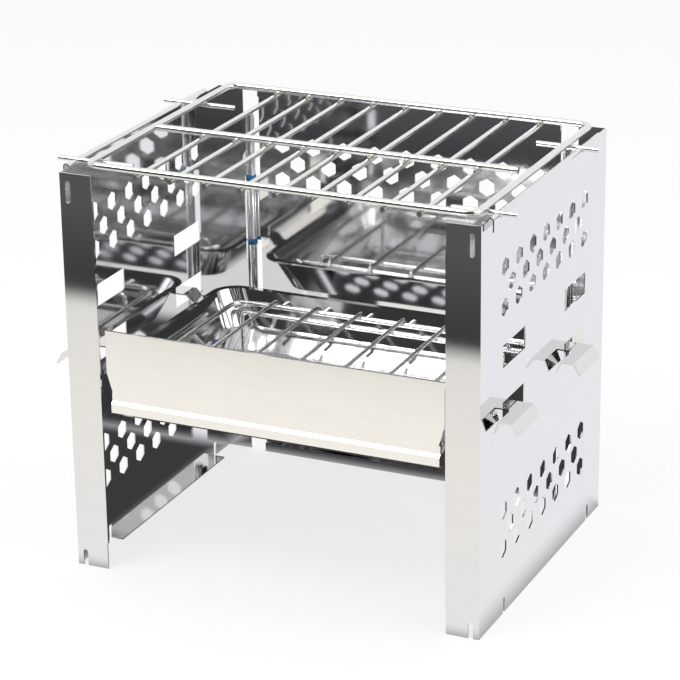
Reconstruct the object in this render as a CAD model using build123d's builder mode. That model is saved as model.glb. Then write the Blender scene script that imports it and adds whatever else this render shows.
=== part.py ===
# Folding charcoal grill: two side panels hinged to a rear panel, a fire tray hung in
# their slots, a charcoal rack in the tray and a wire cooking grate on top.
# Origin at the middle of the footprint, on the ground. X to the right, Y to the rear, Z up.
import os

from build123d import *

os.makedirs("parts", exist_ok=True)

# Housing
body_width = 250.0
body_depth = 194.0
body_height = 239.5
sheet = 0.8
front_flange = 20.0
rear_flange = 16.7
flange_hem_leaf = 8.0
flange_hem_end_gap = 16.0
roll_inner_radius = 1.2
roll_leaf = 6.0
foot_lip = 8.0
relief_width = 3.0
relief_height = 13.0
relief_inset = 5.0

# Hexagonal vents: staggered rows, the middle row one hole shorter
vent_radius = 5.6
vent_pitch = 20.6
vent_row_rise = 11.5
side_vent_margin = 30.0
rear_vent_margin = 12.0
upper_vents_drop = 46.5
lower_vents_height = 51.5

# Hinges: knuckles rolled on a vertical pin at each rear corner
pin_radius = 1.5
pin_clearance = 0.08
knuckle_radius = 3.0
knuckle_count = 5
knuckle_gap = 0.5
hinge_bottom = 20.0
hinge_top_drop = 17.5
hinge_gap = 2.4
rear_panel_gap = 2.21
pin_head_radius = 2.4
pin_head_height = 1.5

# Slots in the side panels, two levels, front and rear
slot_length = 33.5
slot_height = 13.0
front_slot_inset = 32.5
rear_slot_inset = 32.0
lower_slot_drop = 4.5
slot_level_rise = 33.0

# Notches in the top edges for the pegs of the cooking grate
notch_width = 6.0
notch_depth = 2.5
front_notch_inset = 21.0
rear_notch_inset = 47.0
front_foot_inset = 37.0
rear_foot_inset = 21.0
foot_notch_width = 3.0
foot_notch_height = 9.0

# Fire tray
tray_rim_height = 119.0
tray_depth = 21.0
tray_side_room = 16.0
tray_front_room = 9.0
tray_rear_room = 29.0
tray_draft = 8.0
tray_side_draft = 10.0
tray_lip = 4.0
tray_corner = 14.0

# Hooks of the fire tray
hook_neck = 13.5
hook_head = 32.5
hook_play = 0.5
hook_web_rise = 4.6
hook_rise_inset = 6.5
hook_leg_clearance = 2.0
hook_crest_width = 10.0
hook_leg_spread = 2.5
hook_drop = 6.4
hook_reach = 16.1

# Front ledge and guard
ledge_setback = 3.4
ledge_height = 13.0
ledge_drop = 10.0
ledge_step = 1.5
guard_rise = 27.0
guard_side_gap = 2.0
guard_taper_width = 3.5
guard_taper_height = 12.0
guard_hem = 7.0
guard_return = 7.0
guard_gap = 0.2

# Charcoal rack
rack_wire = 1.25
rack_frame_wire = 1.5
rack_side_gap = 13.0
rack_front_gap = 14.0
rack_rear_gap = 12.0
rack_corner = 9.0
rack_drop = 1.5
rack_bar_count = 6
rack_bar_margin = 26.0
rack_bar_overhang = 7.0
rack_bar_drop = 5.0
rack_foot_inset = 12.0
rack_foot_setback = 16.0
rack_floor_gap = 0.2

# Cooking grate
grate_wire = 2.0
grate_bar_wire = 1.5
grate_offset = 5.0
grate_side_gap = 10.0
grate_front_gap = 5.0
grate_rear_gap = 13.0
grate_corner = 6.0
grate_bar_count = 9
grate_bar_margin = 31.0
grate_bar_overhang = 2.0
grate_rail_shift = 9.0
grate_rail_stop = 5.0
peg_inner_reach = 20.0
peg_outer_reach = 12.0
peg_seat_gap = 0.3

half_width = body_width / 2
half_depth = body_depth / 2
inner_face = half_width - sheet
roll_axis = body_height - roll_inner_radius - sheet
hinge_top = body_height - hinge_top_drop
hinge_x = half_width - rear_flange - hinge_gap - knuckle_radius
hinge_y = half_depth - knuckle_radius
rear_panel_half_width = hinge_x - knuckle_radius - rear_panel_gap
upper_vents_height = body_height - upper_vents_drop
side_vent_count = int((body_depth - 2 * side_vent_margin) / vent_pitch) + 1
rear_vent_count = int(2 * (rear_panel_half_width - rear_vent_margin) / vent_pitch) + 1

# Places that follow the housing
lower_slot_bottom = tray_rim_height - lower_slot_drop
upper_slot_bottom = lower_slot_bottom + slot_level_rise
front_slot_start = front_slot_inset - half_depth
rear_slot_start = half_depth - rear_slot_inset - slot_length
notch_floor = body_height - notch_depth
front_notch = front_notch_inset - half_depth
rear_notch = half_depth - rear_notch_inset
foot_notch_front = front_foot_inset - half_depth
foot_notch_rear = half_depth - rear_foot_inset

# Tray, hooks, ledge and guard
tray_floor_height = tray_rim_height - tray_depth
tray_mouth_half_width = half_width - tray_side_room
tray_mouth_front = tray_front_room - half_depth
tray_mouth_rear = half_depth - tray_rear_room
hook_web_height = tray_rim_height + hook_web_rise
ledge_face = half_depth - ledge_setback
ledge_top = tray_rim_height - ledge_drop
ledge_bottom = ledge_top - ledge_height
guard_top = tray_rim_height + guard_rise
guard_half_width = half_width - front_flange - guard_side_gap
guard_bottom_half_width = guard_half_width - guard_taper_width

# Rack in the tray, grate on the housing
rack_half_width = tray_mouth_half_width - rack_side_gap
rack_front = tray_mouth_front + rack_front_gap
rack_rear = tray_mouth_rear - rack_rear_gap
rack_height = tray_rim_height - rack_drop
rack_bar_pitch = 2 * (rack_half_width - rack_bar_margin) / (rack_bar_count - 1)
rack_foot_half_width = rack_half_width - rack_foot_inset
grate_half_width = half_width - grate_side_gap
grate_front = grate_front_gap - half_depth
grate_rear = half_depth - grate_rear_gap
grate_bar_pitch = 2 * (grate_half_width - grate_bar_margin) / (grate_bar_count - 1)
grate_rail_y = (grate_front + grate_rear) / 2 - grate_rail_shift
peg_height = notch_floor + peg_seat_gap + grate_bar_wire
grate_height = peg_height + grate_bar_wire + grate_wire
knuckle_pitch = (hinge_top - hinge_bottom) / knuckle_count


def vent_centres(count, start, middle_height):
    """Centres of three staggered rows of vents."""
    rows = []
    for row in (-1, 0, 1):
        holes = count - 1 if row == 0 else count
        shift = vent_pitch / 2 if row == 0 else 0
        for column in range(holes):
            rows.append((start + shift + column * vent_pitch, middle_height + row * vent_row_rise))
    return rows


def bent_strip(points):
    """Section of a bent sheet along a line of points, one sheet thick."""
    with BuildLine() as path:
        Polyline(*points)
    trace(path.line, line_width=sheet)


def hinge_spans(first):
    """Every second knuckle as bottom and length, from the given one."""
    length = knuckle_pitch - knuckle_gap
    return [(hinge_bottom + i * knuckle_pitch, length) for i in range(first, knuckle_count, 2)]


def add_knuckles(first, sheet_edge):
    """Rolled knuckles with the tongues that join them to a sheet that ends at sheet_edge."""
    for bottom, length in hinge_spans(first):
        tongue = abs(hinge_x - sheet_edge)
        with Locations(((hinge_x + sheet_edge) / 2, half_depth - sheet / 2, bottom)):
            Box(tongue, sheet, length, align=(Align.CENTER, Align.CENTER, Align.MIN))
        with Locations((hinge_x, hinge_y, bottom)):
            Cylinder(knuckle_radius, length, align=(Align.CENTER, Align.CENTER, Align.MIN))
    for bottom, length in hinge_spans(first):
        with Locations((hinge_x, hinge_y, bottom)):
            Cylinder(
                pin_radius + pin_clearance,
                length,
                align=(Align.CENTER, Align.CENTER, Align.MIN),
                mode=Mode.SUBTRACT,
            )


def save(builder, name):
    """Label a finished piece and write its file."""
    builder.part.label = name
    export_step(builder.part, f"parts/{name}.step")


# Right side panel: one sheet with a front flange, a rear flange, a rolled top and foot lip
flange_edge = half_width - front_flange
with BuildPart() as right_side_panel:
    with BuildSketch(Plane.XY):
        bent_strip(
            [
                (flange_edge + sheet / 2, -half_depth + sheet / 2),
                (half_width - sheet / 2, -half_depth + sheet / 2),
                (half_width - sheet / 2, half_depth - sheet / 2),
                (half_width - rear_flange, half_depth - sheet / 2),
            ]
        )
    extrude(amount=roll_axis)
    with BuildSketch(Plane.XY.offset(flange_hem_end_gap)):
        hem_x = flange_edge + sheet
        with Locations((hem_x, -half_depth)):
            Rectangle(sheet, 2 * sheet, align=(Align.MAX, Align.MIN))
        with Locations((hem_x - sheet, -half_depth + sheet)):
            Rectangle(flange_hem_leaf, sheet, align=(Align.MIN, Align.MIN))
    extrude(amount=body_height - 2 * flange_hem_end_gap)
    roll_x = half_width + roll_inner_radius
    with BuildSketch(Plane.XZ.offset(-half_depth + rear_flange)):
        with Locations((roll_x, roll_axis)):
            Circle(roll_inner_radius + sheet)
            Circle(roll_inner_radius, mode=Mode.SUBTRACT)
        with Locations((roll_x, roll_axis)):
            Rectangle(body_width, body_height, align=(Align.CENTER, Align.MAX), mode=Mode.SUBTRACT)
        with Locations((roll_x + roll_inner_radius, roll_axis)):
            Rectangle(sheet, roll_leaf, align=(Align.MIN, Align.MAX))
    extrude(amount=body_depth - rear_flange - front_flange / 2)
    with BuildSketch(Plane.XY):
        with Locations((half_width, foot_notch_front)):
            Rectangle(foot_lip, foot_notch_rear - foot_notch_front, align=(Align.MAX, Align.MIN))
    extrude(amount=sheet)
    for level in (lower_slot_bottom, upper_slot_bottom):
        for start in (front_slot_start, rear_slot_start):
            with Locations((half_width, start, level)):
                Box(
                    4 * sheet,
                    slot_length,
                    slot_height,
                    align=(Align.CENTER, Align.MIN, Align.MIN),
                    mode=Mode.SUBTRACT,
                )
    vent_start = -vent_pitch * (side_vent_count - 1) / 2
    with BuildSketch(Plane.YZ.offset(inner_face - sheet)):
        for middle in (lower_vents_height, upper_vents_height):
            with Locations(*vent_centres(side_vent_count, vent_start, middle)):
                RegularPolygon(vent_radius, 6, rotation=30)
    extrude(amount=3 * sheet, mode=Mode.SUBTRACT)
    for notch_y in (front_notch, rear_notch):
        with Locations((half_width, notch_y, notch_floor)):
            Box(
                front_flange / 2,
                notch_width,
                front_flange,
                align=(Align.CENTER, Align.CENTER, Align.MIN),
                mode=Mode.SUBTRACT,
            )
    for notch_y in (foot_notch_front, foot_notch_rear):
        with Locations((half_width, notch_y, 0)):
            Box(
                4 * foot_lip,
                foot_notch_width,
                foot_notch_height,
                align=(Align.CENTER, Align.CENTER, Align.MIN),
                mode=Mode.SUBTRACT,
            )
    with BuildSketch(Plane.XZ.offset(half_depth)):
        for relief_z in (relief_height / 4, body_height - relief_height):
            with Locations((half_width - relief_inset, relief_z)):
                SlotOverall(relief_height, relief_width, rotation=90)
    extrude(amount=-2 * sheet, mode=Mode.SUBTRACT)
    add_knuckles(0, half_width - rear_flange)
save(right_side_panel, "right_side_panel")

with BuildPart() as left_side_panel:
    mirror(right_side_panel.part, about=Plane.YZ)
save(left_side_panel, "left_side_panel")

# Rear panel between the hinges, with folded top and bottom hems
with BuildPart() as rear_panel:
    with BuildSketch(Plane.YZ):
        rear_line = half_depth - sheet / 2
        bent_strip(
            [
                (rear_line - 2 * sheet, roll_leaf),
                (rear_line - 2 * sheet, sheet / 2),
                (rear_line, sheet / 2),
                (rear_line, body_height - sheet / 2),
                (rear_line - 2 * sheet, body_height - sheet / 2),
                (rear_line - 2 * sheet, body_height - roll_leaf),
            ]
        )
    extrude(amount=rear_panel_half_width, both=True)
    rear_start = -vent_pitch * (rear_vent_count - 1) / 2
    with BuildSketch(Plane.XZ.offset(-half_depth - sheet)):
        for middle in (lower_vents_height, upper_vents_height):
            with Locations(*vent_centres(rear_vent_count, rear_start, middle)):
                RegularPolygon(vent_radius, 6, rotation=30)
    extrude(amount=3 * sheet, mode=Mode.SUBTRACT)
    add_knuckles(1, rear_panel_half_width)
    with BuildPart(mode=Mode.PRIVATE) as other_knuckles:
        add_knuckles(1, rear_panel_half_width)
    mirror(other_knuckles.part, about=Plane.YZ)
save(rear_panel, "rear_panel")

# Hinge pins, headed at both ends
for side, sign in (("left", -1), ("right", 1)):
    with BuildPart() as hinge_pin:
        with Locations((sign * hinge_x, hinge_y, hinge_bottom)):
            Cylinder(
                pin_radius,
                hinge_top - hinge_bottom,
                align=(Align.CENTER, Align.CENTER, Align.MIN),
            )
        for head_bottom in (hinge_bottom - pin_head_height - knuckle_gap, hinge_top):
            with Locations((sign * hinge_x, hinge_y, head_bottom)):
                Cylinder(
                    pin_head_radius,
                    pin_head_height + knuckle_gap * (head_bottom < hinge_bottom),
                    align=(Align.CENTER, Align.CENTER, Align.MIN),
                )
    save(hinge_pin, f"{side}_hinge_pin")


def tray_section(height, half_width_at, front, rear, corner):
    """One rounded rectangle of the tray's form, at a height."""
    with BuildSketch(Plane.XY.offset(height)) as section:
        with Locations((0, (front + rear) / 2)):
            RectangleRounded(2 * half_width_at, rear - front, corner)
    return section.sketch


# Fire tray: drawn basin with sloping walls and a flat lip
with BuildPart() as fire_tray:
    for wall, mode in ((sheet, Mode.ADD), (0, Mode.SUBTRACT)):
        floor = tray_floor_height + (0 if wall else sheet)
        bottom = tray_section(
            floor,
            tray_mouth_half_width - tray_side_draft + wall,
            tray_mouth_front + tray_draft - wall,
            tray_mouth_rear - tray_draft + wall,
            tray_corner,
        )
        top = tray_section(
            tray_rim_height,
            tray_mouth_half_width + wall,
            tray_mouth_front - wall,
            tray_mouth_rear + wall,
            tray_corner,
        )
        loft([bottom, top], mode=mode)
        if wall:
            lip = tray_section(
                tray_rim_height - sheet,
                tray_mouth_half_width + tray_lip,
                tray_mouth_front - tray_lip,
                tray_mouth_rear + tray_lip,
                tray_corner + tray_lip / 2,
            )
            extrude(lip, amount=sheet)
save(fire_tray, "fire_tray")

# Hooks: a web goes out through each lower slot and a wider crest locks outside the panel
lip_edge = tray_mouth_half_width + tray_lip
web_inner = inner_face - hook_rise_inset
crest_start = half_width + hook_leg_clearance + hook_leg_spread + sheet / 2
crest_end = crest_start + hook_crest_width
hook_web = [
    (lip_edge - tray_lip + sheet, tray_rim_height + sheet / 2),
    (lip_edge + sheet, tray_rim_height + sheet / 2),
    (web_inner, hook_web_height),
    (crest_end - hook_leg_spread, hook_web_height),
    (half_width + hook_reach, hook_web_height - hook_drop),
]
hook_crest = [
    (crest_start - hook_leg_spread, hook_web_height - hook_drop),
    (crest_start, hook_web_height),
    (crest_end - hook_leg_spread, hook_web_height),
    (half_width + hook_reach, hook_web_height - hook_drop),
]
for place, slot_start in (("front", front_slot_start), ("rear", rear_slot_start)):
    neck_rear = slot_start + hook_play + hook_neck
    with BuildPart() as right_hook:
        with BuildSketch(Plane.XZ.offset(-neck_rear)):
            bent_strip(hook_web)
        extrude(amount=hook_neck)
        with BuildSketch(Plane.XZ.offset(-neck_rear + hook_neck)):
            bent_strip(hook_crest)
        extrude(amount=hook_head - hook_neck)
    save(right_hook, f"{place}_right_hook")
    with BuildPart() as left_hook:
        mirror(right_hook.part, about=Plane.YZ)
    save(left_hook, f"{place}_left_hook")

# Front ledge under the guard: a stepped strip that closes on the tray's sloping wall
ledge_back = -tray_mouth_front - tray_draft * (tray_rim_height - ledge_top) / (
    tray_rim_height - tray_floor_height
)
with BuildPart() as front_ledge:
    with BuildSketch(Plane.YZ):
        bent_strip(
            [
                (-ledge_face + 4 * sheet, ledge_bottom + sheet / 2),
                (-ledge_face - sheet / 2 + ledge_step, ledge_bottom + sheet / 2),
                (-ledge_face, ledge_bottom + ledge_step),
                (-ledge_face, (ledge_bottom + ledge_top) / 2),
                (-ledge_face + ledge_step, (ledge_bottom + ledge_top) / 2 + ledge_step),
                (-ledge_face + ledge_step, ledge_top - sheet / 2),
                (-ledge_back - 2 * sheet, ledge_top - sheet / 2),
            ]
        )
    extrude(amount=guard_bottom_half_width + sheet, both=True)
save(front_ledge, "front_ledge")

# Front guard: the tall plate between the front flanges, hemmed on top
guard_line = -tray_mouth_front + tray_lip + guard_gap
with BuildPart() as front_guard:
    with BuildSketch(Plane.XZ.offset(guard_line)):
        with BuildLine():
            Polyline(
                (-guard_bottom_half_width, ledge_top),
                (guard_bottom_half_width, ledge_top),
                (guard_half_width, ledge_top + guard_taper_height),
                (guard_half_width, guard_top),
                (-guard_half_width, guard_top),
                (-guard_half_width, ledge_top + guard_taper_height),
                close=True,
            )
        make_face()
    extrude(amount=sheet)
    with Locations((0, -guard_line, guard_top)):
        Box(
            2 * guard_half_width,
            sheet,
            guard_hem,
            align=(Align.CENTER, Align.MIN, Align.MAX),
        )
    for sign in (-1, 1):
        with Locations((sign * (guard_half_width - sheet / 2), -guard_line, guard_top)):
            Box(
                sheet,
                guard_return,
                guard_top - tray_rim_height - guard_return,
                align=(Align.CENTER, Align.MIN, Align.MAX),
            )
save(front_guard, "front_guard")


def wire_loop(middle, half_x, front, rear, height, corner, radius):
    """A closed rectangle of round wire with rounded corners."""
    with BuildLine() as path:
        FilletPolyline(
            (middle - half_x, front, height),
            (middle + half_x, front, height),
            (middle + half_x, rear, height),
            (middle - half_x, rear, height),
            radius=corner,
            close=True,
        )
    with BuildSketch(path.line ^ 0) as section:
        Circle(radius)
    sweep(section.sketch, path=path.line)


def bent_wire(points, bend, radius):
    """An open round wire along points, with one bend radius."""
    with BuildLine() as path:
        FilletPolyline(*points, radius=bend)
    with BuildSketch(path.line ^ 0) as section:
        Circle(radius)
    sweep(section.sketch, path=path.line)


def straight_wire(start, end, radius):
    """A straight round wire."""
    with BuildLine() as path:
        Line(start, end)
    with BuildSketch(path.line ^ 0) as section:
        Circle(radius)
    sweep(section.sketch, path=path.line)


# Charcoal rack in the tray: frame, bars bent down at both ends, two staple-shaped feet
rack_frame_height = rack_height - rack_wire - rack_frame_wire
with BuildPart() as rack_frame:
    wire_loop(0, rack_half_width, rack_front, rack_rear, rack_frame_height, rack_corner, rack_frame_wire)
save(rack_frame, "rack_frame")

for index in range(rack_bar_count):
    bar_x = (index - (rack_bar_count - 1) / 2) * rack_bar_pitch
    with BuildPart() as rack_bar:
        bent_wire(
            [
                (bar_x, rack_front - rack_bar_overhang, rack_height - rack_bar_drop),
                (bar_x, rack_front - rack_frame_wire, rack_height),
                (bar_x, rack_rear + rack_frame_wire, rack_height),
                (bar_x, rack_rear + rack_bar_overhang, rack_height - rack_bar_drop),
            ],
            2 * rack_wire,
            rack_wire,
        )
    save(rack_bar, f"rack_bar_{index + 1}")

rack_foot_height = rack_height - 2 * rack_wire
rack_foot_bottom = tray_floor_height + sheet + rack_floor_gap
for place, foot_y in (
    ("front", rack_front + rack_foot_setback),
    ("rear", rack_rear - rack_foot_setback),
):
    with BuildPart() as rack_foot:
        bent_wire(
            [
                (-rack_foot_half_width, foot_y, rack_foot_bottom),
                (-rack_foot_half_width, foot_y, rack_foot_height),
                (rack_foot_half_width, foot_y, rack_foot_height),
                (rack_foot_half_width, foot_y, rack_foot_bottom),
            ],
            3 * rack_wire,
            rack_wire,
        )
    save(rack_foot, f"{place}_rack_foot")

# Cooking grate: frame, long bars below it, a cross rail over the bars, four pegs in the notches
with BuildPart() as grate_frame:
    wire_loop(
        grate_offset,
        grate_half_width,
        grate_front,
        grate_rear,
        grate_height,
        grate_corner,
        grate_wire,
    )
save(grate_frame, "grate_frame")

for index in range(grate_bar_count):
    bar_x = grate_offset + (index - (grate_bar_count - 1) / 2) * grate_bar_pitch
    with BuildPart() as grate_bar:
        straight_wire(
            (bar_x, grate_front - grate_bar_overhang, peg_height),
            (bar_x, grate_rear + grate_bar_overhang, peg_height),
            grate_bar_wire,
        )
    save(grate_bar, f"grate_bar_{index + 1}")

rail_height = peg_height + grate_bar_wire + grate_wire
with BuildPart() as grate_rail:
    straight_wire(
        (grate_offset - grate_half_width + grate_wire, grate_rail_y, rail_height),
        (grate_offset + grate_half_width - grate_wire - grate_rail_stop, grate_rail_y, rail_height),
        grate_wire,
    )
save(grate_rail, "grate_rail")

for place, peg_y in (("front", front_notch), ("rear", rear_notch)):
    for side, sign in (("left", -1), ("right", 1)):
        frame_x = grate_offset + sign * grate_half_width
        with BuildPart() as grate_peg:
            straight_wire(
                (frame_x - sign * peg_inner_reach, peg_y, peg_height),
                (sign * (half_width + peg_outer_reach), peg_y, peg_height),
                grate_bar_wire,
            )
        save(grate_peg, f"{place}_{side}_peg")
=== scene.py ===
import math
import random

import bmesh
import bpy
from mathutils import Matrix, Vector


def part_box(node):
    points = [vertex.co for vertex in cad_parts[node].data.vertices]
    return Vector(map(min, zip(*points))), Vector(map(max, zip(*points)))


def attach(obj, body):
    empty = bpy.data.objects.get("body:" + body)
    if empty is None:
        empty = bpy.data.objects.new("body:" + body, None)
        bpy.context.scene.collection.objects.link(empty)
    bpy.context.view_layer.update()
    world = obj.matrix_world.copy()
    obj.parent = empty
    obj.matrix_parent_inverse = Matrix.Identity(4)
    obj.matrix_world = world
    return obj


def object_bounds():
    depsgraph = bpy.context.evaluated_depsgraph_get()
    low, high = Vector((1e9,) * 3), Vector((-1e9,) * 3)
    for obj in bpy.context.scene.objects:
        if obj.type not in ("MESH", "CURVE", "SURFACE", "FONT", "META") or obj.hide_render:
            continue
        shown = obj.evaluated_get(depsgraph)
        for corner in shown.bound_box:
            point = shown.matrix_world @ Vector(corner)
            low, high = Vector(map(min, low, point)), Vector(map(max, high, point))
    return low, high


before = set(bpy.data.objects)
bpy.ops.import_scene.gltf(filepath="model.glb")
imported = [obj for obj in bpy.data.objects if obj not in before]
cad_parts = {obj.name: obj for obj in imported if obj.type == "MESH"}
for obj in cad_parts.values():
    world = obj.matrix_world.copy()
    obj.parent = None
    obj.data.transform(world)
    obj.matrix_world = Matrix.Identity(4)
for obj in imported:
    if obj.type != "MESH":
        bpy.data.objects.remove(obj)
cad_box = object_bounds()

# Camera: a long lens seen from the front right, found from the corners of the housing
CAMERA_PLACE = Vector((0.620, -1.343, 0.684))
CAMERA_AZIMUTH = math.radians(24.81)
CAMERA_ELEVATION = math.radians(20.77)
CAMERA_ROLL = math.radians(-0.78)
SENSOR_MM = 36.0
FRAME_PIXELS = 680.0
FOCAL_PIXELS = 2740.0

WHITE = (1.0, 1.0, 1.0, 1.0)
UP = Vector((0, 0, 1))

# Sockets of a colour Mix node, whose names repeat for each data type
MIX_FIRST = 6
MIX_SECOND = 7
MIX_RESULT = 2

# Finish of all the sheet and wire: how fine each pattern is
WAVES_PER_METRE = 9.0
WAVE_DETAIL = 1.0
SMUDGES_PER_METRE = 34.0
SMUDGE_DETAIL = 5.0
GRAIN_DETAIL = 2.0
GRAIN_LOW = 0.25
GRAIN_HIGH = 0.75

# Blue film: pattern, colours and gloss
FILM_GRAINS_PER_METRE = 600.0
FILM_DETAIL = 4.0
FILM_DEEP_BLUE = (0.004, 0.07, 0.24, 1.0)
FILM_PALE_BLUE = (0.03, 0.30, 0.62, 1.0)
FILM_ROUGHNESS = 0.35

# Film scraps: size, torn edge, and knuckle number with starting angle on either hinge
FILM_RADIUS = 0.0032
FILM_DROP = 0.0022
FILM_RISE = 0.0016
FILM_TEAR = 0.0007
FILM_THICKNESS = 0.00015
FILM_STEPS = 14
FILM_SEED = 7
FILM_SWEEP = math.radians(170)
FILM_KNUCKLES = 5
FILM_TURNS = {
    "left": ((2, math.radians(190)), (3, math.radians(230)), (4, math.radians(200))),
    "right": ((2, math.radians(170)), (4, math.radians(150))),
}

# Weld beads: radius along the wires, and height as a share of it
GRATE_BEAD = 0.0019
RACK_BEAD = 0.0014
BEAD_HEIGHT_SHARE = 0.7
RAIL_BEAD = 0.0021
RAIL_BEAD_HEIGHT = 0.0009
BEAD_SUBDIVISIONS = 2

# Floor: bright near the grill; in mirrors only, a painted reflection that is dark from half a
# metre in front of it, and a painted shade in mirrors under the grill
FLOOR_HALF_SIZE = 6.0
FLOOR_COLOR = (0.90, 0.90, 0.90, 1.0)
FLOOR_ROUGHNESS = 0.7
FLOOR_BAND_FRONT = -0.70
FLOOR_BAND_REAR = 0.10
# Painted reflection bands, seen only in mirrors: a dark room in front, pale floor near and behind
# the grill
FLOOR_PAINTED_REFLECTION_BANDS = (
    (0.0, (0.10, 0.10, 0.105)),
    (0.235, (0.045, 0.045, 0.05)),
    (0.275, (0.88, 0.86, 0.80)),
    (0.5, (0.96, 0.93, 0.87)),
    (1.0, (0.93, 0.935, 0.96)),
)
# Painted shade under the grill, seen only in mirrors, and the width of its soft edge
FLOOR_SHADE = (0.05, 0.05, 0.052, 1.0)
FLOOR_SHADE_EDGE = 0.015
HOOK_OVERHANG = 0.016
FLOOR_WHITE_SHARE = 0.78

# Studio in mirrors: bright sweep behind, dark room in front, soft boxes above and at the left
SWEEP_EDGE = (-0.10, 0.30)
ROOM_LEVEL = 0.045
SWEEP_LEVEL = 0.95
TOP_BOX_EDGE = (0.74, 0.84)
TOP_BOX_LEVEL = 0.95
LEFT_BOX_EDGE = (0.62, 0.74)
LEFT_BOX_LEVEL = 0.85


def place_camera():
    """Stand the camera where the photograph was taken from."""
    forward = Vector((
        -math.sin(CAMERA_AZIMUTH) * math.cos(CAMERA_ELEVATION),
        math.cos(CAMERA_AZIMUTH) * math.cos(CAMERA_ELEVATION),
        -math.sin(CAMERA_ELEVATION),
    ))
    level = forward.cross(UP).normalized()
    upward = level.cross(forward)
    right = level * math.cos(CAMERA_ROLL) + upward * math.sin(CAMERA_ROLL)
    up = upward * math.cos(CAMERA_ROLL) - level * math.sin(CAMERA_ROLL)
    data = bpy.data.cameras.new("view")
    data.sensor_width = SENSOR_MM
    data.lens = SENSOR_MM * (FOCAL_PIXELS / FRAME_PIXELS)
    camera = bpy.data.objects.new("view", data)
    turn = Matrix((right, up, -forward)).transposed().to_4x4()
    camera.matrix_world = Matrix.Translation(CAMERA_PLACE) @ turn
    bpy.context.collection.objects.link(camera)
    bpy.context.scene.camera = camera


def new_material(name):
    """An empty node material with its output and a Principled BSDF."""
    material = bpy.data.materials.new(name)
    material.use_nodes = True
    nodes = material.node_tree.nodes
    return material, nodes, material.node_tree.links, nodes["Principled BSDF"]


def sheet_finish_group():
    """Rolled sheet: slow waviness, fine grain along one axis, smudges that vary the gloss."""
    group = bpy.data.node_groups.new("sheet_finish", "ShaderNodeTree")
    face = group.interface
    for name in ("Gloss", "Smudge", "Wave", "Grain", "Tone"):
        face.new_socket(name, in_out="INPUT", socket_type="NodeSocketFloat")
    face.new_socket("Color", in_out="INPUT", socket_type="NodeSocketColor")
    face.new_socket("Stretch", in_out="INPUT", socket_type="NodeSocketVector")
    face.new_socket("Color", in_out="OUTPUT", socket_type="NodeSocketColor")
    face.new_socket("Roughness", in_out="OUTPUT", socket_type="NodeSocketFloat")
    face.new_socket("Height", in_out="OUTPUT", socket_type="NodeSocketFloat")
    nodes, links = group.nodes, group.links
    inputs = nodes.new("NodeGroupInput")
    outputs = nodes.new("NodeGroupOutput")
    place = nodes.new("ShaderNodeTexCoord")
    wave = nodes.new("ShaderNodeTexNoise")
    wave.inputs["Scale"].default_value = WAVES_PER_METRE
    wave.inputs["Detail"].default_value = WAVE_DETAIL
    smudge = nodes.new("ShaderNodeTexNoise")
    smudge.inputs["Scale"].default_value = SMUDGES_PER_METRE
    smudge.inputs["Detail"].default_value = SMUDGE_DETAIL
    scaled = nodes.new("ShaderNodeVectorMath")
    scaled.operation = "MULTIPLY"
    grain = nodes.new("ShaderNodeTexNoise")
    grain.inputs["Scale"].default_value = 1.0
    grain.inputs["Detail"].default_value = GRAIN_DETAIL
    links.new(place.outputs["Object"], wave.inputs["Vector"])
    links.new(place.outputs["Object"], smudge.inputs["Vector"])
    links.new(place.outputs["Object"], scaled.inputs[0])
    links.new(inputs.outputs["Stretch"], scaled.inputs[1])
    links.new(scaled.outputs["Vector"], grain.inputs["Vector"])
    rough = nodes.new("ShaderNodeMath")
    rough.operation = "MULTIPLY_ADD"
    links.new(smudge.outputs["Fac"], rough.inputs[0])
    links.new(inputs.outputs["Smudge"], rough.inputs[1])
    links.new(inputs.outputs["Gloss"], rough.inputs[2])
    links.new(rough.outputs["Value"], outputs.inputs["Roughness"])
    wave_share = nodes.new("ShaderNodeMath")
    wave_share.operation = "MULTIPLY"
    links.new(wave.outputs["Fac"], wave_share.inputs[0])
    links.new(inputs.outputs["Wave"], wave_share.inputs[1])
    height = nodes.new("ShaderNodeMath")
    height.operation = "MULTIPLY_ADD"
    links.new(grain.outputs["Fac"], height.inputs[0])
    links.new(inputs.outputs["Grain"], height.inputs[1])
    links.new(wave_share.outputs["Value"], height.inputs[2])
    links.new(height.outputs["Value"], outputs.inputs["Height"])
    worn = nodes.new("ShaderNodeMapRange")
    worn.inputs["From Min"].default_value = GRAIN_LOW
    worn.inputs["From Max"].default_value = GRAIN_HIGH
    links.new(inputs.outputs["Tone"], worn.inputs["To Min"])
    worn.inputs["To Max"].default_value = 1.0
    links.new(grain.outputs["Fac"], worn.inputs["Value"])
    tinted = nodes.new("ShaderNodeMix")
    tinted.data_type = "RGBA"
    tinted.blend_type = "MULTIPLY"
    tinted.inputs["Factor"].default_value = 1.0
    links.new(inputs.outputs["Color"], tinted.inputs[MIX_FIRST])
    links.new(worn.outputs["Result"], tinted.inputs[MIX_SECOND])
    links.new(tinted.outputs[MIX_RESULT], outputs.inputs["Color"])
    return group


SHEET_FINISH = sheet_finish_group()


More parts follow.
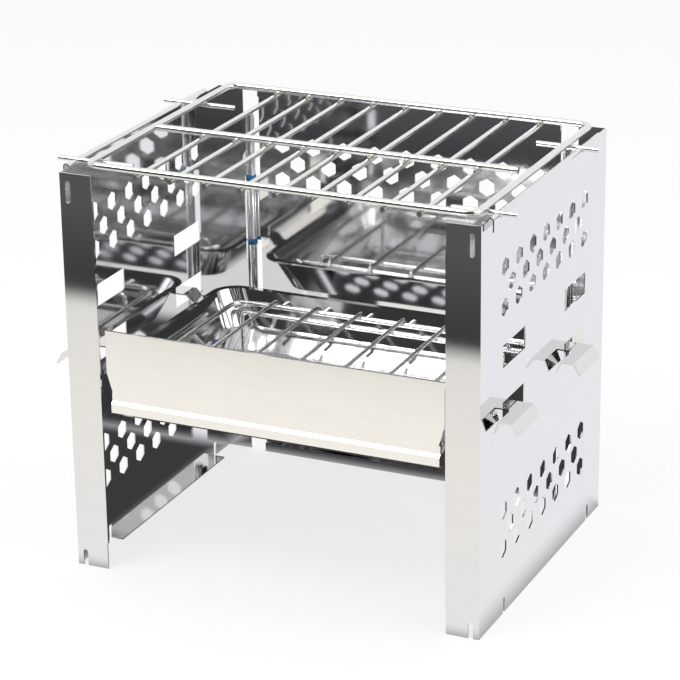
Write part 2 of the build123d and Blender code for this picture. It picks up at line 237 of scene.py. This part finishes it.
def steel(name, *, color, gloss, smudge, wave, grain, tone, stretch, bump_mm):
    """A metal with the shared finish, tuned by its own values.

    gloss and smudge set the roughness, wave and grain the height of the two patterns, tone how
    dark the grain's low places are, stretch how often the grain repeats along each axis, and
    bump_mm the depth of it all.
    """
    material, nodes, links, shader = new_material(name)
    finish = nodes.new("ShaderNodeGroup")
    finish.node_tree = SHEET_FINISH
    finish.inputs["Gloss"].default_value = gloss
    finish.inputs["Smudge"].default_value = smudge
    finish.inputs["Wave"].default_value = wave
    finish.inputs["Grain"].default_value = grain
    finish.inputs["Tone"].default_value = tone
    finish.inputs["Color"].default_value = (*color, 1.0)
    finish.inputs["Stretch"].default_value = stretch
    bump = nodes.new("ShaderNodeBump")
    bump.inputs["Distance"].default_value = bump_mm / 1000.0
    bump.inputs["Strength"].default_value = 1.0
    links.new(finish.outputs["Color"], shader.inputs["Base Color"])
    links.new(finish.outputs["Roughness"], shader.inputs["Roughness"])
    links.new(finish.outputs["Height"], bump.inputs["Height"])
    links.new(bump.outputs["Normal"], shader.inputs["Normal"])
    shader.inputs["Metallic"].default_value = 1.0
    return material


def dress(material, *names):
    """Give CAD nodes their material."""
    for name in names:
        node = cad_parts[name]
        node.data.materials.clear()
        node.data.materials.append(material)


def all_nodes(*words):
    """Names of the CAD nodes that hold any of the words."""
    return [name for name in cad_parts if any(word in name for word in words)]


PANEL = steel(
    "bright_sheet",
    color=(0.83, 0.83, 0.84),
    gloss=0.03,
    smudge=0.05,
    wave=1.0,
    grain=0.002,
    tone=0.98,
    stretch=(40, 40, 300),
    bump_mm=0.16,
)
GUARD = steel(
    "satin_sheet",
    color=(0.96, 0.95, 0.935),
    gloss=0.13,
    smudge=0.04,
    wave=0.0,
    grain=0.10,
    tone=0.98,
    stretch=(20, 500, 500),
    bump_mm=0.010,
)
BASIN = steel(
    "drawn_basin",
    color=(0.78, 0.78, 0.79),
    gloss=0.04,
    smudge=0.06,
    wave=1.0,
    grain=0.005,
    tone=0.97,
    stretch=(300, 40, 40),
    bump_mm=0.20,
)
WIRE = steel(
    "plated_wire",
    color=(0.86, 0.855, 0.84),
    gloss=0.12,
    smudge=0.08,
    wave=0.1,
    grain=0.20,
    tone=0.95,
    stretch=(900, 60, 900),
    bump_mm=0.03,
)
PINS = steel(
    "turned_pin",
    color=(0.70, 0.70, 0.71),
    gloss=0.14,
    smudge=0.08,
    wave=0.1,
    grain=0.20,
    tone=0.9,
    stretch=(60, 60, 1500),
    bump_mm=0.02,
)
WELD = steel(
    "weld_bead",
    color=(0.60, 0.55, 0.46),
    gloss=0.28,
    smudge=0.2,
    wave=0.2,
    grain=0.6,
    tone=0.7,
    stretch=(900, 900, 900),
    bump_mm=0.10,
)

dress(PANEL, "left_side_panel", "right_side_panel", "rear_panel")
dress(GUARD, "front_guard", "front_ledge")
dress(BASIN, "fire_tray", *all_nodes("_hook"))
dress(WIRE, *all_nodes("grate_", "rack_", "_peg"))
dress(PINS, *all_nodes("hinge_pin"))


def film_material():
    """Torn scraps of the blue protective film left in the hinges."""
    material, nodes, links, shader = new_material("blue_film")
    place = nodes.new("ShaderNodeTexCoord")
    noise = nodes.new("ShaderNodeTexNoise")
    noise.inputs["Scale"].default_value = FILM_GRAINS_PER_METRE
    noise.inputs["Detail"].default_value = FILM_DETAIL
    ramp = nodes.new("ShaderNodeValToRGB")
    ramp.color_ramp.elements[0].color = FILM_DEEP_BLUE
    ramp.color_ramp.elements[1].color = FILM_PALE_BLUE
    links.new(place.outputs["Object"], noise.inputs["Vector"])
    links.new(noise.outputs["Fac"], ramp.inputs["Fac"])
    links.new(ramp.outputs["Color"], shader.inputs["Base Color"])
    shader.inputs["Roughness"].default_value = FILM_ROUGHNESS
    return material


FILM = film_material()


def keep_mesh(shape, name, material, body):
    """Turn a bmesh into a piece that rides on a body."""
    bmesh.ops.recalc_face_normals(shape, faces=shape.faces)
    mesh = bpy.data.meshes.new(name)
    shape.to_mesh(mesh)
    shape.free()
    for polygon in mesh.polygons:
        polygon.use_smooth = True
    mesh.materials.append(material)
    piece = bpy.data.objects.new(name, mesh)
    bpy.context.collection.objects.link(piece)
    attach(piece, body)
    return piece


def centre(box, axis):
    """Middle of a box along one axis."""
    return (box[0][axis] + box[1][axis]) / 2


def nugget(shape, place, size):
    """A squashed bead of weld."""
    turn = Matrix.Translation(place) @ Matrix.Diagonal((*size, 1.0))
    bmesh.ops.create_icosphere(shape, subdivisions=BEAD_SUBDIVISIONS, radius=1.0, matrix=turn)


def add_weld_beads(name, frame_node, bars, body, bead):
    """Beads where each bar crosses the front and rear wires of its frame."""
    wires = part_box(frame_node)
    shape = bmesh.new()
    for bar in bars:
        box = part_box(bar)
        height = (box[1][2] + wires[0][2]) / 2
        for end in (wires[0][1] + bead, wires[1][1] - bead):
            nugget(shape, (centre(box, 0), end, height), (bead, bead, bead * BEAD_HEIGHT_SHARE))
    keep_mesh(shape, name, WELD, body)


def add_rail_beads(bars):
    """Beads where the cross rail lies on each bar of the grate."""
    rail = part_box("grate_rail")
    shape = bmesh.new()
    for bar in bars:
        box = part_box(bar)
        spot = (centre(box, 0), centre(rail, 1), box[1][2])
        nugget(shape, spot, (RAIL_BEAD, RAIL_BEAD, RAIL_BEAD_HEIGHT))
    keep_mesh(shape, "rail_welds", WELD, "cooking_grate")


grate_bars = sorted(all_nodes("grate_bar_"))
rack_bars = sorted(all_nodes("rack_bar_"))
add_weld_beads("grate_welds", "grate_frame", grate_bars, "cooking_grate", GRATE_BEAD)
add_weld_beads("rack_welds", "rack_frame", rack_bars, "charcoal_rack", RACK_BEAD)
add_rail_beads(grate_bars)


def lamp(name, place, aim, size, power):
    """A soft square lamp that points at a spot."""
    data = bpy.data.lights.new(name, "AREA")
    data.size = size
    data.energy = power
    light = bpy.data.objects.new(name, data)
    light.location = place
    light.rotation_euler = (Vector(aim) - Vector(place)).to_track_quat("-Z", "Y").to_euler()
    bpy.context.collection.objects.link(light)


def scrap_of_film(shape, hinge, height, start):
    """A torn strip of film wrapped part of the way round a hinge knuckle."""
    axis = Vector((centre(hinge, 0), centre(hinge, 1), 0))
    low = shape.verts.new(axis + Vector((FILM_RADIUS, 0, height - FILM_DROP)))
    high = shape.verts.new(axis + Vector((FILM_RADIUS, 0, height + FILM_RISE)))
    edge = shape.edges.new((low, high))
    bmesh.ops.rotate(shape, verts=[low, high], cent=axis, matrix=Matrix.Rotation(start, 3, "Z"))
    bmesh.ops.spin(
        shape,
        geom=[low, high, edge],
        cent=axis,
        axis=UP,
        angle=FILM_SWEEP,
        steps=FILM_STEPS,
    )


def add_film():
    """Scraps of film at the joints between the knuckles of both hinges."""
    shape = bmesh.new()
    for side, turns in FILM_TURNS.items():
        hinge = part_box(f"{side}_hinge_pin")
        pitch = (hinge[1][2] - hinge[0][2]) / FILM_KNUCKLES
        for knuckle, start in turns:
            scrap_of_film(shape, hinge, hinge[0][2] + knuckle * pitch, start)
    torn = random.Random(FILM_SEED)
    for vertex in shape.verts:
        vertex.co.z += torn.uniform(-FILM_TEAR, FILM_TEAR)
    piece = keep_mesh(shape, "film_scraps", FILM, "rear_frame")
    wall = piece.modifiers.new("film_thickness", "SOLIDIFY")
    wall.thickness = FILM_THICKNESS
    wall.offset = 1.0


add_film()


def set_stops(ramp, stops):
    """Give a colour ramp its places and colours."""
    while len(ramp.elements) < len(stops):
        ramp.elements.new(0.5)
    for element, (place, color) in zip(ramp.elements, stops):
        element.position = place
        element.color = (*color, 1.0)


def shaded_footprint(nodes, links, split):
    """Mask of the painted shade seen in mirrors: 0 on the floor under the grill and 1 around it.
    """
    reach = []
    for axis, half in (("X", cad_box[1][0] - HOOK_OVERHANG), ("Y", cad_box[1][1])):
        away = nodes.new("ShaderNodeMath")
        away.operation = "ABSOLUTE"
        inset = nodes.new("ShaderNodeMath")
        inset.operation = "SUBTRACT"
        inset.inputs[1].default_value = half
        links.new(split.outputs[axis], away.inputs[0])
        links.new(away.outputs["Value"], inset.inputs[0])
        reach.append(inset)
    further = nodes.new("ShaderNodeMath")
    further.operation = "MAXIMUM"
    edge = nodes.new("ShaderNodeMapRange")
    edge.interpolation_type = "SMOOTHSTEP"
    edge.inputs["From Min"].default_value = -FLOOR_SHADE_EDGE
    edge.inputs["From Max"].default_value = FLOOR_SHADE_EDGE
    links.new(reach[0].outputs["Value"], further.inputs[0])
    links.new(reach[1].outputs["Value"], further.inputs[1])
    links.new(further.outputs["Value"], edge.inputs["Value"])
    return edge.outputs["Result"]


def lay_floor():
    """Pale floor that keeps the grill's shadow, with a painted reflection of light and dark bands
    and a painted shade under the grill, both seen only in mirrors.
    """
    shape = bmesh.new()
    bmesh.ops.create_grid(shape, x_segments=1, y_segments=1, size=FLOOR_HALF_SIZE)
    mesh = bpy.data.meshes.new("floor")
    shape.to_mesh(mesh)
    shape.free()
    floor = bpy.data.objects.new("floor", mesh)
    bpy.context.collection.objects.link(floor)
    material, nodes, links, shader = new_material("pale_floor")
    shader.inputs["Base Color"].default_value = FLOOR_COLOR
    shader.inputs["Roughness"].default_value = FLOOR_ROUGHNESS
    output = nodes["Material Output"]
    path = nodes.new("ShaderNodeLightPath")
    place = nodes.new("ShaderNodeTexCoord")
    split = nodes.new("ShaderNodeSeparateXYZ")
    bands = nodes.new("ShaderNodeMapRange")
    bands.inputs["From Min"].default_value = FLOOR_BAND_FRONT
    bands.inputs["From Max"].default_value = FLOOR_BAND_REAR
    painted_reflection_ramp = nodes.new("ShaderNodeValToRGB")
    set_stops(painted_reflection_ramp.color_ramp, FLOOR_PAINTED_REFLECTION_BANDS)
    # Painted shade under the grill, for mirrors only
    shade = shaded_footprint(nodes, links, split)
    shaded = nodes.new("ShaderNodeMix")
    shaded.data_type = "RGBA"
    shaded.inputs[MIX_FIRST].default_value = FLOOR_SHADE
    links.new(bands.outputs["Result"], painted_reflection_ramp.inputs["Fac"])
    links.new(shade, shaded.inputs["Factor"])
    links.new(painted_reflection_ramp.outputs["Color"], shaded.inputs[MIX_SECOND])
    # Glow seen only in mirrors: the painted reflection bands with the painted shade under the
    # grill
    painted_reflection_glow = nodes.new("ShaderNodeEmission")
    white = nodes.new("ShaderNodeEmission")
    white.inputs["Color"].default_value = WHITE
    for_mirror = nodes.new("ShaderNodeMixShader")
    for_camera = nodes.new("ShaderNodeMixShader")
    share = nodes.new("ShaderNodeMath")
    share.operation = "MULTIPLY"
    share.inputs[1].default_value = FLOOR_WHITE_SHARE
    links.new(place.outputs["Object"], split.inputs["Vector"])
    links.new(split.outputs["Y"], bands.inputs["Value"])
    links.new(shaded.outputs[MIX_RESULT], painted_reflection_glow.inputs["Color"])
    links.new(path.outputs["Is Camera Ray"], share.inputs[0])
    links.new(path.outputs["Is Glossy Ray"], for_mirror.inputs["Fac"])
    links.new(shader.outputs["BSDF"], for_mirror.inputs[1])
    links.new(painted_reflection_glow.outputs["Emission"], for_mirror.inputs[2])
    links.new(share.outputs["Value"], for_camera.inputs["Fac"])
    links.new(for_mirror.outputs["Shader"], for_camera.inputs[1])
    links.new(white.outputs["Emission"], for_camera.inputs[2])
    links.new(for_camera.outputs["Shader"], output.inputs["Surface"])
    mesh.materials.append(material)


def soft_edge(nodes, links, source, edge, low, high):
    """A smooth step of a direction's part between two levels."""
    step = nodes.new("ShaderNodeMapRange")
    step.interpolation_type = "SMOOTHSTEP"
    step.inputs["From Min"].default_value = edge[0]
    step.inputs["From Max"].default_value = edge[1]
    step.inputs["To Min"].default_value = low
    step.inputs["To Max"].default_value = high
    links.new(source, step.inputs["Value"])
    return step.outputs["Result"]


def brighter(nodes, links, first, second):
    """The larger of two levels."""
    larger = nodes.new("ShaderNodeMath")
    larger.operation = "MAXIMUM"
    links.new(first, larger.inputs[0])
    links.new(second, larger.inputs[1])
    return larger.outputs["Value"]


def light_world():
    """White studio to the camera; a sweep, a dark room and two soft boxes around the grill."""
    world = bpy.data.worlds.new("studio")
    bpy.context.scene.world = world
    world.use_nodes = True
    nodes, links = world.node_tree.nodes, world.node_tree.links
    nodes.clear()
    output = nodes.new("ShaderNodeOutputWorld")
    mix = nodes.new("ShaderNodeMixShader")
    path = nodes.new("ShaderNodeLightPath")
    seen = nodes.new("ShaderNodeBackground")
    seen.inputs["Color"].default_value = WHITE
    lit = nodes.new("ShaderNodeBackground")
    place = nodes.new("ShaderNodeTexCoord")
    split = nodes.new("ShaderNodeSeparateXYZ")
    links.new(place.outputs["Generated"], split.inputs["Vector"])
    leftward = nodes.new("ShaderNodeMath")
    leftward.operation = "MULTIPLY"
    leftward.inputs[1].default_value = -1.0
    links.new(split.outputs["X"], leftward.inputs[0])
    sweep = soft_edge(nodes, links, split.outputs["Y"], SWEEP_EDGE, ROOM_LEVEL, SWEEP_LEVEL)
    top_box = soft_edge(nodes, links, split.outputs["Z"], TOP_BOX_EDGE, 0, TOP_BOX_LEVEL)
    left_box = soft_edge(nodes, links, leftward.outputs["Value"], LEFT_BOX_EDGE, 0, LEFT_BOX_LEVEL)
    level = brighter(nodes, links, sweep, brighter(nodes, links, top_box, left_box))
    links.new(level, lit.inputs["Color"])
    links.new(path.outputs["Is Camera Ray"], mix.inputs["Fac"])
    links.new(lit.outputs["Background"], mix.inputs[1])
    links.new(seen.outputs["Background"], mix.inputs[2])
    links.new(mix.outputs["Shader"], output.inputs["Surface"])


place_camera()
lay_floor()
light_world()
lamp("key", place=(-0.6, -1.0, 1.5), aim=(0, 0, 0.1), size=1.0, power=18.0)
lamp("side", place=(1.6, -0.2, 0.9), aim=(0.1, 0, 0.1), size=1.2, power=14.0)
bpy.context.scene.view_settings.view_transform = "Standard"
